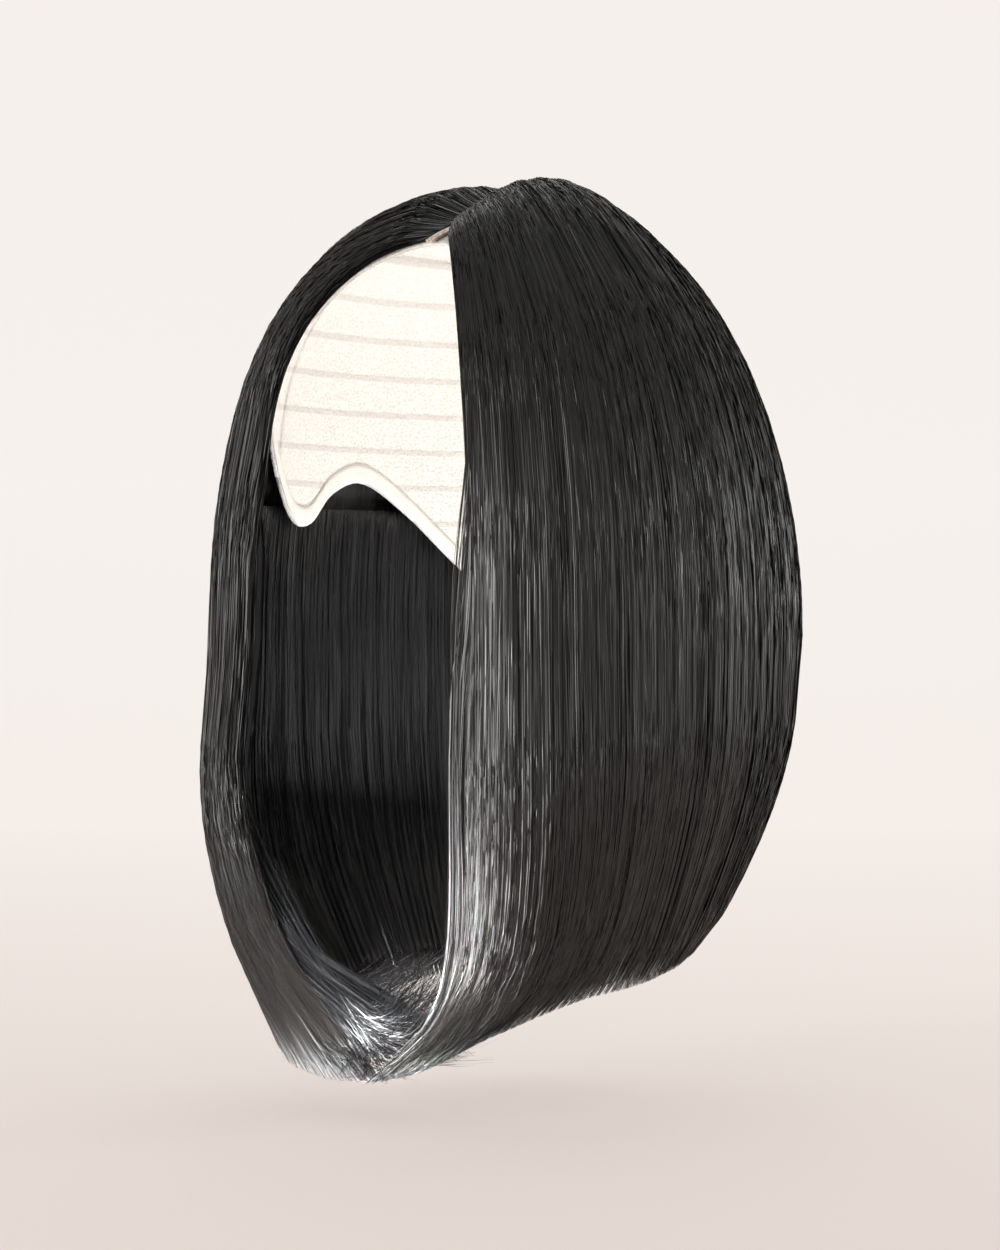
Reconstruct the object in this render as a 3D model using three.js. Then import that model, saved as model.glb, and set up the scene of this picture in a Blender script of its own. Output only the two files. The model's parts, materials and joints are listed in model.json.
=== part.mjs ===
// A side-parted bob wig, in the shape that it has when worn: a net cap, a narrow strip of skin-coloured
// lace under the parting, and straight hair that falls from the parting and curls in at the hem.
// Millimetres. +Z is up, -Y is the way the wearer looks and +X is the wearer's left. The origin is where
// the inside of the cap rests on the top of the head.
import * as THREE from 'three';

// Head and cap
const headHalfWidth = 76;
const headHalfLength = 97;
const headRise = 88; // top of the head above its widest level
const headPower = 2.4; // 2 is an ellipse, more is squarer
const capWall = 1.2;
const pieceGap = 0.4; // clear distance between neighbouring pieces
const layerGap = 1.3; // clear distance between one layer of hair and the next
const hairBed = 0.9; // clear distance between the cap and the hair that lies on it

// Outline of the hair
const topLoft = 14; // hair above the head
const sideLoft = 17; // hair beside the head, where the bob is widest
const endLoft = 20; // hair before and behind the head, where the bob is widest
const widestDrop = 141; // from the top of the head down to where the bob is widest
const frontPower = 2.34; // 2 is an ellipse, more is squarer
const backPower = 2.0;
const hairDrop = 287; // from the top of the head down to the lowest tips

// Parting, on the wearer's left
const partingOffset = 15;
const partingFront = 62; // ahead of the middle of the head
const partingBack = 30; // behind the middle of the head
const stripHalfWidth = 1.5;
const stripThickness = 0.8;
const stripColumns = 4;
const stripRows = 14;
const stripEnd = 0.9; // share of the whorl that the strip's rounded end reaches into
const whorlLength = 6; // the crown's whorl behind the parting
const rootShare = 0.14; // height of the hair right beside the parting, as a share of its full height
const leftRootRise = 9; // distance from the parting in which the hair reaches its full height
const rightRootRise = 16;
const leftRootsBack = 8; // the short side's roots start this far behind the parting's front end
const leftPuff = 6; // extra height of the lifted roots on the short side
const puffRise = 12;
const puffFade = 40;

// Walls of hair
const rootWall = 20; // most that hair may fill above the cap
const sideWall = 5.6;
const tipWall = 3.4;
const leastHair = 3; // left above the cap where the front edges lie close to the face
const fillDrop = 60; // above this level the hair fills down to the cap
const lockDepth = 1.3; // depth of the grooves between locks
const tipNotch = 2.5; // grooves end this much higher than locks
const tipRagged = 3; // spread in the length of locks
const tipBeat = 2.6; // from lock to lock, so that no two neighbours end alike

// Layers under the outer hair
const underDrop = 96; // where the hair sewn round the sides and back begins
const underWall = 4;
const underRise = 5; // its tips end this much higher than the outer hair
const backCurl = 4; // and curl in this much further behind, where they leave room for the neck
const frontCurl = 27; // and this much under the chin
const curlStart = 0.6;
const backCurlTurn = 95; // turn up to which they curl in by backCurl
const frontCurlTurn = 135; // and turn from which they curl in by frontCurl
const rightSweep = 24; // degrees that the tips on the long side sweep on, across under the chin
const napeDrop = 124; // where the hair sewn along the nape begins
const napeWall = 3.5;
const napeRise = 28;
const napeTurn = 52; // it reaches this far round each side
const napeFadeTurn = 24; // over which the layer outside it thickens to fill up to it

// Turns are degrees round the head, from 0 at the middle of the back to 180 at the nose,
// and they are negative on the wearer's right.
const leftEdgeTurn = 142;
const rightEdgeTurn = 160;
const whorlTurn = 50;
const edgeRoll = 9; // how far back from a front edge the hair rolls down to it
const edgeShare = 0.32; // thickness left at a front edge
const tuckTurn = 34; // how far back from a front edge the hair bends in towards the face
const edgeTuck = 8; // and how much it does
const tipTuck = 8; // more at the tips of the long side, which pass inside those of the short side
const faceLockStart = 7; // row of the dome at which a face lock begins
const faceLockDepth = 1.6;
const faceLockWall = 2.2;

// The fall of the hair below its widest level: how far down it is, how wide the bob still is at the
// front, side and back, and how many degrees each front edge has swung towards the chin.
const fallRows = [
  { drop: 0.0, front: 1.0, side: 1.0, back: 1.0, leftSwing: 0, rightSwing: 0 },
  { drop: 0.15, front: 1.02, side: 0.995, back: 0.976, leftSwing: 0, rightSwing: 0.5 },
  { drop: 0.3, front: 1.043, side: 0.988, back: 0.952, leftSwing: 0, rightSwing: 2 },
  { drop: 0.45, front: 1.036, side: 0.958, back: 0.908, leftSwing: 0, rightSwing: 5.5 },
  { drop: 0.6, front: 1.0, side: 0.905, back: 0.855, leftSwing: 0.5, rightSwing: 9.5 },
  { drop: 0.72, front: 0.958, side: 0.85, back: 0.8, leftSwing: 2, rightSwing: 12.5 },
  { drop: 0.82, front: 0.905, side: 0.8, back: 0.745, leftSwing: 5.5, rightSwing: 16 },
  { drop: 0.9, front: 0.86, side: 0.755, back: 0.697, leftSwing: 12, rightSwing: 19.5 },
  { drop: 0.96, front: 0.835, side: 0.706, back: 0.646, leftSwing: 21, rightSwing: 25 },
  { drop: 1.0, front: 0.82, side: 0.67, back: 0.612, leftSwing: 30, rightSwing: 29 },
];

// The hem, as a share of the hair's full drop: longest in front, where both sides meet under the chin.
const hemRows = [
  { turn: -160, drop: 1.0 },
  { turn: -146, drop: 1.0 },
  { turn: -130, drop: 0.982 },
  { turn: -112, drop: 0.953 },
  { turn: -92, drop: 0.935 },
  { turn: -65, drop: 0.918 },
  { turn: -35, drop: 0.886 },
  { turn: 0, drop: 0.864 },
  { turn: 40, drop: 0.858 },
  { turn: 64, drop: 0.87 },
  { turn: 80, drop: 0.885 },
  { turn: 95, drop: 0.898 },
  { turn: 108, drop: 0.91 },
  { turn: 119, drop: 0.942 },
  { turn: 130, drop: 0.984 },
  { turn: 142, drop: 1.0 },
];

// The cap's edge, as degrees down from the top of the head. Its front follows the front edges of the
// hair, and each side has a temple, an ear tab and an arch over the ear.
const capEdgeRows = [
  { turn: -180, down: 41 },
  { turn: -174, down: 46 },
  { turn: -168, down: 55 },
  { turn: -158, down: 62 },
  { turn: -140, down: 66 },
  { turn: -126, down: 76 },
  { turn: -117, down: 89 },
  { turn: -110, down: 98 },
  { turn: -103, down: 99 },
  { turn: -95, down: 92 },
  { turn: -85, down: 89 },
  { turn: -73, down: 96 },
  { turn: -60, down: 108 },
  { turn: -45, down: 121 },
  { turn: -30, down: 131 },
  { turn: -15, down: 137 },
  { turn: 0, down: 138 },
  { turn: 15, down: 137 },
  { turn: 30, down: 131 },
  { turn: 45, down: 121 },
  { turn: 60, down: 108 },
  { turn: 73, down: 96 },
  { turn: 85, down: 89 },
  { turn: 95, down: 92 },
  { turn: 103, down: 99 },
  { turn: 110, down: 98 },
  { turn: 117, down: 88 },
  { turn: 126, down: 73 },
  { turn: 135, down: 62 },
  { turn: 143, down: 52 },
  { turn: 149, down: 43 },
  { turn: 154, down: 37 },
  { turn: 160, down: 35 },
  { turn: 170, down: 36 },
  { turn: 180, down: 41 },
];

const outerSections = [
  { name: 'right_front_hair', from: -rightEdgeTurn, to: -104, columns: 12 },
  { name: 'right_side_hair', from: -104, to: -52, columns: 8 },
  { name: 'right_back_hair', from: -52, to: 0, columns: 8 },
  { name: 'left_back_hair', from: 0, to: 50, columns: 8 },
  { name: 'left_side_hair', from: 50, to: 96, columns: 8 },
  { name: 'left_front_hair', from: 96, to: leftEdgeTurn, columns: 10 },
];

const underSections = [
  { name: 'right_under_hair', from: -156, to: -41, columns: 12, sweep: -rightSweep },
  { name: 'back_under_hair', from: -41, to: 41, columns: 10, sweep: 0 },
  { name: 'left_under_hair', from: 41, to: 136, columns: 10, sweep: 0 },
];

const napeSection = { name: 'nape_hair', from: -napeTurn, to: napeTurn, columns: 10 };

const faceLocks = [{ name: 'left_face_lock', from: leftEdgeTurn + 0.6, to: leftEdgeTurn + 3, columns: 2 }];

// The cap is sewn from a round crown and four panels between it and the edge.
const crownDown = 30; // degrees down from the top of the head
const capPanels = [
  { name: 'cap_right', from: -117, to: -45, columns: 12 },
  { name: 'cap_back', from: -45, to: 45, columns: 16 },
  { name: 'cap_left', from: 45, to: 117, columns: 12 },
  { name: 'cap_front', from: 117, to: 243, columns: 22 },
];
const crownColumns = 48;
const crownRows = 3;
const panelRows = 6;

const domeRows = 10;
const plumbRows = 3;
const fallSteps = [0.16, 0.33, 0.5, 0.65, 0.77, 0.86, 0.93, 0.97, 1];

const hairHalfWidth = headHalfWidth + sideLoft;
const hairHalfLength = headHalfLength + endLoft;
const capClear = capWall + pieceGap;
const headCentre = new THREE.Vector3(0, 0, -headRise);
const partingHalf = stripHalfWidth + pieceGap;

const radians = THREE.MathUtils.degToRad;
const clamp = THREE.MathUtils.clamp;
const ease = (t) => THREE.MathUtils.smoothstep(t, 0, 1);

// A smooth curve through the rows of a table, read at one value of its key column.
function curveThrough(rows, key, value, at) {
  const slope = (i) => {
    const low = rows[Math.max(0, i - 1)];
    const high = rows[Math.min(rows.length - 1, i + 1)];
    return (high[value] - low[value]) / (high[key] - low[key]);
  };
  const x = clamp(at, rows[0][key], rows[rows.length - 1][key]);
  let i = 0;
  while (i < rows.length - 2 && x > rows[i + 1][key]) i += 1;
  const width = rows[i + 1][key] - rows[i][key];
  const t = (x - rows[i][key]) / width;
  const rise = rows[i + 1][value] - rows[i][value];
  const away = slope(i) * width - rise;
  const into = -slope(i + 1) * width + rise;
  return rows[i][value] + t * rise + t * (1 - t) * ((1 - t) * away + t * into);
}

const edgeTurn = (turn) => (turn < 0 ? rightEdgeTurn : leftEdgeTurn);

// How much of the front, side and back outline the hair follows at a turn.
function outlineShares(turn) {
  const side = ease(Math.abs(turn) / 90);
  const front = ease((Math.abs(turn) - 90) / (edgeTurn(turn) - 90));
  return { front, side: (1 - front) * side, back: 1 - side };
}

// Where the hair at a turn leaves the cap: along either side of the parting, then round its back end.
function rootPlan(turn) {
  const round = radians(90 * clamp(Math.abs(turn) / whorlTurn, 0, 1));
  const along = clamp((Math.abs(turn) - whorlTurn) / (edgeTurn(turn) - whorlTurn), 0, 1);
  const front = turn > 0 ? partingFront - leftRootsBack : partingFront;
  return new THREE.Vector2(
    partingOffset + Math.sign(turn) * partingHalf * Math.sin(round),
    partingBack + whorlLength * Math.cos(round) - (front + partingBack) * along,
  );
}

const outlinePlan = (turn) =>
  new THREE.Vector2(hairHalfWidth * Math.sin(radians(turn)), hairHalfLength * Math.cos(radians(turn)));

// The bob is squarer in front than behind.
const domePower = (y) => THREE.MathUtils.lerp(backPower, frontPower, 0.5 - y / (2 * hairHalfLength));

// A point of the hair's outer surface above its widest level, at a place seen from above.
function onDome(plan) {
  const power = domePower(plan.y);
  const spread = Math.hypot(plan.x / hairHalfWidth, plan.y / hairHalfLength);
  const rise = Math.max(0, 1 - spread ** power) ** (1 / power);
  return new THREE.Vector3(plan.x, plan.y, (topLoft + widestDrop) * rise - widestDrop);
}

// A point of the outer surface below the widest level: step is 0 there and 1 at the hem. A sweep turns
// the tips of a front section on by that many degrees.
function onFall(turn, step, hemLevel, sweep = 0) {
  const shares = outlineShares(turn);
  const read = (column) => curveThrough(fallRows, 'drop', column, step);
  const reach = shares.front * read('front') + shares.side * read('side') + shares.back * read('back');
  const swing = shares.front * (turn < 0 ? -read('rightSwing') : read('leftSwing'));
  const swept = shares.front * sweep * ease((step - curlStart) / (1 - curlStart));
  const plan = outlinePlan(turn + swing + swept).multiplyScalar(reach);
  return new THREE.Vector3(plan.x, plan.y, -widestDrop - (hemLevel - widestDrop) * step);
}

// One combed line of the outer surface, from the parting to the hem.
function combedLine(turn, hemLevel, firstStep = 0) {
  const root = rootPlan(turn);
  const line = [];
  for (let i = firstStep; i <= domeRows; i += 1) {
    const share = Math.sin((Math.PI / 2) * (i / domeRows)) ** (2 / frontPower);
    line.push(onDome(root.clone().lerp(outlinePlan(turn), share)));
  }
  return line.concat(fallSteps.map((step) => onFall(turn, step, hemLevel)));
}

// One plumb line of the same surface, from a level below the top of the head to the hem.
function plumbLine(turn, topLevel, hemLevel, sweep = 0) {
  const line = [];
  const power = domePower(outlinePlan(turn).y);
  for (let i = 0; i <= plumbRows; i += 1) {
    const level = THREE.MathUtils.lerp(topLevel, widestDrop, i / plumbRows);
    const rise = (widestDrop - level) / (topLoft + widestDrop);
    const spread = (1 - rise ** power) ** (1 / power);
    const plan = outlinePlan(turn).multiplyScalar(spread);
    line.push(new THREE.Vector3(plan.x, plan.y, -level));
  }
  return line.concat(fallSteps.map((step) => onFall(turn, step, hemLevel, sweep)));
}

// The way into the hair from its outer surface: towards the middle of the head, and level below that.
function inward(point) {
  const centre = new THREE.Vector3(0, 0, Math.min(point.z, 0));
  if (point.z > headCentre.z) centre.copy(headCentre);
  return centre.sub(point).normalize();
}

// How far a point lies from the middle of the head, where 1 is the cap's surface raised by a lift.
function capMeasure(x, y, z, lift) {
  const level = Math.hypot(x / (headHalfWidth + lift), y / (headHalfLength + lift));
  return (level ** headPower + Math.abs(z / (headRise + lift)) ** headPower) ** (1 / headPower);
}

// The point above the cap, by a lift, that lies on the line from an outer point to the head's middle.
function liftedOff(point, lift) {
  const ray = point.clone().sub(headCentre);
  return ray.divideScalar(capMeasure(ray.x, ray.y, ray.z, lift)).add(headCentre);
}

// How far the cap, with the bed that the hair lies on, is inside a point of the outer surface.
function depthToCap(point) {
  const lift = capWall + hairBed;
  const z = point.z - headCentre.z;
  if (z > 0) return point.distanceTo(headCentre) * (1 - 1 / capMeasure(point.x, point.y, z, lift));
  const narrowing = (1 - Math.min(1, -z / (headRise + lift)) ** headPower) ** (1 / headPower);
  return Math.hypot(point.x, point.y) * (1 - narrowing / capMeasure(point.x, point.y, 0, lift));
}

const stepAt = (point, hemLevel) => clamp((-point.z - widestDrop) / (hemLevel - widestDrop), 0, 1);

// How far the outer surface is bent in towards the face, along the front edges.
function tuckAt(turn, point) {
  const near = ease(1 - (edgeTurn(turn) - Math.abs(turn)) / tuckTurn);
  const inside = turn < 0 ? tipTuck * ease((stepAt(point, hairDrop) - curlStart) / (1 - curlStart)) : 0;
  return near * clamp(depthToCap(point) - leastHair, 0, edgeTuck + inside);
}

// Thickness of the outer layer: it fills down to the cap at the top, and thins to the tips.
function outerWall(turn, point, hemLevel) {
  const below = -point.z;
  const thinned = ease((below - fillDrop) / (headRise - fillDrop));
  const hanging = THREE.MathUtils.lerp(sideWall, tipWall, ease(stepAt(point, hemLevel)));
  const wall = THREE.MathUtils.lerp(rootWall, hanging, thinned);
  return Math.min(depthToCap(point) - tuckAt(turn, point), wall);
}

const along = (point, distance) => point.clone().addScaledVector(inward(point), distance);

const hemAt = (turn) => hairDrop * curveThrough(hemRows, 'turn', 'drop', turn);

// Locks end at slightly different lengths, and the grooves between them end higher.
function tipLift(turn, column) {
  if (column % 2 === 0) return tipNotch;
  return tipRagged * (0.5 + 0.5 * Math.sin(tipBeat * column + turn));
}

// A closed wall between two grids of points, indexed by column round the head and row down the hair.
function wallBetween(outer, inner) {
  const columns = outer.length;
  const rows = outer[0].length;
  const positions = [];
  for (const grid of [outer, inner]) for (const line of grid) for (const p of line) positions.push(...p);
  const out = (i, j) => i * rows + j;
  const into = (i, j) => columns * rows + i * rows + j;
  const faces = [];
  const quad = (a, b, c, d) => faces.push(a, b, c, a, c, d);
  for (let i = 0; i < columns - 1; i += 1) {
    for (let j = 0; j < rows - 1; j += 1) {
      quad(out(i, j), out(i + 1, j), out(i + 1, j + 1), out(i, j + 1));
      quad(into(i, j), into(i, j + 1), into(i + 1, j + 1), into(i + 1, j));
    }
    quad(out(i, 0), into(i, 0), into(i + 1, 0), out(i + 1, 0));
    quad(out(i, rows - 1), out(i + 1, rows - 1), into(i + 1, rows - 1), into(i, rows - 1));
  }
  for (let j = 0; j < rows - 1; j += 1) {
    const last = columns - 1;
    quad(out(0, j), out(0, j + 1), into(0, j + 1), into(0, j));
    quad(out(last, j), into(last, j), into(last, j + 1), out(last, j + 1));
  }
  return closedGeometry(positions, faces);
}

function closedGeometry(positions, faces) {
  const geometry = new THREE.BufferGeometry();
  geometry.setAttribute('position', new THREE.Float32BufferAttribute(positions, 3));
  geometry.setIndex(faces);
  geometry.computeVertexNormals();
  return geometry;
}

// Moves the first and last line of a grid in from the neighbouring section, by half the gap.
function trimSides(grid) {
  const last = grid.length - 1;
  for (const [side, next] of [[0, 1], [last, last - 1]]) {
    grid[side].forEach((point, j) => {
      const across = grid[next][j].clone().sub(point);
      point.addScaledVector(across.normalize(), pieceGap / 2);
    });
  }
  return grid;
}

function turnsOf({ from, to, columns }) {
  return Array.from({ length: columns + 1 }, (_, i) => THREE.MathUtils.lerp(from, to, i / columns));
}

// A section of the outer hair, with its locks.
function outerHair(section) {
  const outer = [];
  const inner = [];
  turnsOf(section).forEach((turn, column) => {
    const hemLevel = hemAt(turn) - tipLift(turn, column);
    const line = combedLine(turn, hemLevel);
    const toEdge = clamp((edgeTurn(turn) - Math.abs(turn)) / edgeRoll, 0, 1);
    const roll = edgeShare + (1 - edgeShare) * Math.sqrt(1 - (1 - toEdge) ** 2);
    const groove = column % 2 === 0 ? lockDepth : 0;
    const onLeft = ease(turn / whorlTurn);
    const lifted = ease((turn - whorlTurn) / whorlTurn);
    const rootRise = THREE.MathUtils.lerp(rightRootRise, leftRootRise, onLeft);
    outer.push(line.map((point) => {
      const run = point.distanceTo(line[0]);
      const risen = ease(run / rootRise);
      const fullness = roll * (rootShare + (1 - rootShare) * risen);
      const puff = leftPuff * lifted * roll * ease(run / puffRise) * (1 - ease((run - puffRise) / puffFade));
      const wall = outerWall(turn, point, hemLevel);
      const rolled = Math.min(wall * (1 - fullness) + groove * risen, wall * (1 - rootShare / 2));
      return along(point, tuckAt(turn, point) + rolled - puff);
    }));
    inner.push(line.map((point) => along(point, tuckAt(turn, point) + outerWall(turn, point, hemLevel))));
  });
  return wallBetween(trimSides(outer), trimSides(inner));
}

// Depth of the space just inside the outer layer.
const insideOuter = (turn, point) => tuckAt(turn, point) + outerWall(turn, point, hemAt(turn)) + layerGap;

// How much further an inner layer curls in, from nothing at curlStart to its full curl at the tips.
function curlAt(turn, point, hemLevel) {
  const under = ease((Math.abs(turn) - backCurlTurn) / (frontCurlTurn - backCurlTurn));
  const curl = THREE.MathUtils.lerp(backCurl, frontCurl, under);
  return curl * ease((stepAt(point, hemLevel) - curlStart) / (1 - curlStart));
}

// How far from the middle the hair along the nape hangs.
function napeReach(turn) {
  const top = plumbLine(turn, napeDrop, hairDrop)[0];
  return Math.hypot(top.x, top.y) - depthToCap(top) + napeWall;
}

// Thickness of the layer under the outer hair. Behind, it fills the space up to the hair of the nape.
function underThickness(turn, point, depth) {
  const filled = Math.hypot(point.x, point.y) - napeReach(turn) - layerGap - depth;
  const share = ease((napeTurn - Math.abs(turn)) / napeFadeTurn);
  return THREE.MathUtils.lerp(underWall, Math.max(underWall, filled), share);
}

// A section of the layer sewn round the sides and back of the cap, inside the outer hair.
function underHair(section) {
  const outer = [];
  const inner = [];
  turnsOf(section).forEach((turn, column) => {
    const hemLevel = hemAt(turn) - underRise - tipLift(turn, column);
    const line = plumbLine(turn, underDrop, hemLevel, section.sweep);
    const depth = (point) => insideOuter(turn, point) + curlAt(turn, point, hemLevel);
    const innerDepth = (point) => {
      const filled = depth(point) + underThickness(turn, point, depth(point));
      return Math.min(filled, depthToCap(point));
    };
    outer.push(line.map((point) => along(point, depth(point))));
    inner.push(line.map((point) => along(point, innerDepth(point))));
  });
  return wallBetween(trimSides(outer), trimSides(inner));
}

// The layer sewn along the nape. It hangs from the cap, and meets the layer outside it only at the curl.
function napeHair() {
  const outer = [];
  const inner = [];
  turnsOf(napeSection).forEach((turn, column) => {
    const hemLevel = hemAt(turn) - napeRise - tipLift(turn, column);
    const line = plumbLine(turn, napeDrop, hemLevel);
    const depth = (point) => {
      const beside = insideOuter(turn, point) + underWall + layerGap + curlAt(turn, point, hemLevel);
      return Math.max(Math.hypot(point.x, point.y) - napeReach(turn), beside);
    };
    outer.push(line.map((point) => along(point, depth(point))));
    inner.push(line.map((point) => along(point, depth(point) + napeWall)));
  });
  return wallBetween(outer, inner);
}

// A thin lock just ahead of a front edge. It leaves the hair below the hairline.
function faceLock(section) {
  const outer = [];
  const inner = [];
  turnsOf(section).forEach((turn, column) => {
    const line = combedLine(turn, hemAt(turn) - tipLift(turn, column), faceLockStart);
    const depth = (point) => tuckAt(turn, point) + faceLockDepth;
    outer.push(line.map((point) => along(point, depth(point))));
    inner.push(line.map((point) => along(point, depth(point) + faceLockWall)));
  });
  return wallBetween(outer, inner);
}

// A point of the cap, by turn and degrees down from the top of the head.
function onCap(turn, down, lift) {
  const level = Math.sin(radians(down));
  const ray = new THREE.Vector3(
    headHalfWidth * level * Math.sin(radians(turn)),
    headHalfLength * level * Math.cos(radians(turn)),
    headRise * Math.cos(radians(down)),
  );
  return liftedOff(ray.add(headCentre), lift);
}

const crownGap = THREE.MathUtils.radToDeg(pieceGap / headRise); // the gap round the crown, in degrees

// The round piece at the cap's top, a thin wall between two domes.
function capCrown() {
  const positions = [];
  for (const wall of [capWall, 0]) {
    positions.push(0, 0, wall);
    for (let i = 0; i < crownColumns; i += 1) {
      for (let j = 1; j <= crownRows; j += 1) {
        positions.push(...onCap((360 * i) / crownColumns, ((crownDown - crownGap) * j) / crownRows, wall));
      }
    }
  }
  const perWall = 1 + crownColumns * crownRows;
  const at = (wall, i, j) => wall * perWall + (j === 0 ? 0 : (i % crownColumns) * crownRows + j);
  const faces = [];
  for (let i = 0; i < crownColumns; i += 1) {
    faces.push(at(0, i, 0), at(0, i + 1, 1), at(0, i, 1));
    faces.push(at(1, i, 0), at(1, i, 1), at(1, i + 1, 1));
    for (let j = 1; j < crownRows; j += 1) {
      faces.push(at(0, i, j), at(0, i + 1, j), at(0, i + 1, j + 1));
      faces.push(at(0, i, j), at(0, i + 1, j + 1), at(0, i, j + 1));
      faces.push(at(1, i, j), at(1, i + 1, j + 1), at(1, i + 1, j));
      faces.push(at(1, i, j), at(1, i, j + 1), at(1, i + 1, j + 1));
    }
    faces.push(at(0, i, crownRows), at(0, i + 1, crownRows), at(1, i + 1, crownRows));
    faces.push(at(0, i, crownRows), at(1, i + 1, crownRows), at(1, i, crownRows));
  }
  return closedGeometry(positions, faces);
}

// A panel of the cap, from the crown down to the cap's edge.
function capPanel(section) {
  const grids = [capWall, 0].map((wall) => turnsOf(section).map((turn) => {
    const edge = curveThrough(capEdgeRows, 'turn', 'down', turn > 180 ? turn - 360 : turn);
    return Array.from({ length: panelRows + 1 }, (_, j) =>
      onCap(turn, THREE.MathUtils.lerp(crownDown, edge, j / panelRows), wall));
  }));
  return wallBetween(...grids.map(trimSides));
}

// The strip of lace under the parting. Its back end is rounded to fit the whorl.
function partingStrip() {
  const length = partingFront + partingBack + (whorlLength - pieceGap) * stripEnd;
  const grids = [capClear + stripThickness, capClear].map((lift) =>
    Array.from({ length: stripColumns + 1 }, (_, i) =>
      Array.from({ length: stripRows + 1 }, (__, j) => {
        const y = (length * j) / stripRows - partingFront;
        const past = Math.max(0, y - partingBack) / (whorlLength - pieceGap);
        const half = stripHalfWidth * Math.sqrt(1 - past * past);
        const plan = new THREE.Vector2(partingOffset + half * ((2 * i) / stripColumns - 1), y);
        return liftedOff(onDome(plan), lift);
      })));
  return wallBetween(...grids);
}

const hair = new THREE.MeshStandardMaterial({ color: 0x2b2a29, roughness: 0.42, metalness: 0 });
const underLayer = new THREE.MeshStandardMaterial({ color: 0x242322, roughness: 0.5, metalness: 0 });
const net = new THREE.MeshStandardMaterial({ color: 0xcbb29b, roughness: 0.85, metalness: 0 });
const lace = new THREE.MeshStandardMaterial({ color: 0xd8c0a8, roughness: 0.8, metalness: 0 });

const wig = new THREE.Group();

function addPiece(name, geometry, material) {
  const mesh = new THREE.Mesh(geometry, material);
  mesh.name = name;
  wig.add(mesh);
}

addPiece('cap_crown', capCrown(), net);
for (const panel of capPanels) addPiece(panel.name, capPanel(panel), net);
addPiece('parting_strip', partingStrip(), lace);
for (const section of outerSections) addPiece(section.name, outerHair(section), hair);
for (const section of faceLocks) addPiece(section.name, faceLock(section), hair);
for (const section of underSections) addPiece(section.name, underHair(section), underLayer);
addPiece(napeSection.name, napeHair(), underLayer);

export default wig;
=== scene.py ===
import json
import math

import bpy
import numpy as np
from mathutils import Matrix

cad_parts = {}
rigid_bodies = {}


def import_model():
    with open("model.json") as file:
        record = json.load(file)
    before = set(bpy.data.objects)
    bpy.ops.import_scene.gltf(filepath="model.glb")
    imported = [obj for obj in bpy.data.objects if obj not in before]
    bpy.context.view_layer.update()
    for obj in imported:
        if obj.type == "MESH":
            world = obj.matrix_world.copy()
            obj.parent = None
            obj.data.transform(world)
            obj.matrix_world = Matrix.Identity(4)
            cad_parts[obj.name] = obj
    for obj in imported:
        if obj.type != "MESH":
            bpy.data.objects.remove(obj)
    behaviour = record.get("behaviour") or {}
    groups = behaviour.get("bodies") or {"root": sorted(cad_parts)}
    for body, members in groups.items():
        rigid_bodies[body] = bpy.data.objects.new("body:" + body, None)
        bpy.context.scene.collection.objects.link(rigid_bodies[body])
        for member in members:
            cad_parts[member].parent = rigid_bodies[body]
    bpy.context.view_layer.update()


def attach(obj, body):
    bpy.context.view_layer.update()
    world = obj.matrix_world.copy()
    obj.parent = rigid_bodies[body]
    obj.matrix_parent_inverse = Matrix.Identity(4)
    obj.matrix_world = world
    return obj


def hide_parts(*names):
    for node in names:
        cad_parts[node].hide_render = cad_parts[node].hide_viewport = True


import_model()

# Net cap
# A wig is built on a cap of fine stretch net, sewn from a round crown and four panels, with a soft tape
# round its edge. The rows of hair are sewn to its outside, and show through the net as darker lines.
MM = 0.001
HEAD_HALF = np.array([76.0, 97.0, 88.0])
HEAD_POWER = 2.4
NET_WALL = 1.2
CROWN_DOWN = 30
CROWN_GAP = 0.26
PANEL_GAP = 0.15
TAPE_HEIGHT_TURN = 4.5
TAPE_GAP, TAPE_WALL = 0.05, 0.5
NET_COLOUR = (0.95, 0.92, 0.88, 1)
NET_HOLE_COLOUR = (0.86, 0.82, 0.77, 1)
TAPE_COLOUR = (0.92, 0.88, 0.83, 1)
WEFT_COLOUR = (0.52, 0.48, 0.45, 1)
NET_MESH_SIZE = 0.0016
WEFT_SPACING = 0.013
STAIN_SCALE, STAIN_SHARE, WEFT_SHARE = 45, 0.35, 0.35
RIB_SCALE, RIB_BEND = 420, 1.5
# a bump's strength, and its height in metres
NET_BUMP, TAPE_BUMP = (0.5, 0.0004), (0.35, 0.0003)
# the cap's edge: turns round the head from the middle of the back, and degrees down from the top
CAP_EDGE = [(-180, 41), (-174, 46), (-168, 55), (-158, 62), (-140, 66), (-126, 76), (-117, 89), (-110, 98),
            (-103, 99), (-95, 92), (-85, 89), (-73, 96), (-60, 108), (-45, 121), (-30, 131), (-15, 137),
            (0, 138), (15, 137), (30, 131), (45, 121), (60, 108), (73, 96), (85, 89), (95, 92), (103, 99),
            (110, 98), (117, 88), (126, 73), (135, 62), (143, 52), (149, 43), (154, 37), (160, 35),
            (170, 36), (180, 41)]
CAP_PANELS = {"cap_right": (-117, -45), "cap_back": (-45, 45), "cap_left": (45, 117),
              "cap_front": (117, 243)}
PANEL_ROWS, CROWN_COLUMNS, CROWN_ROWS, TAPE_COLUMNS, TAPE_ROWS = 19, 97, 12, 241, 5
CROWN_HOLE = 0.4


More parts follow.
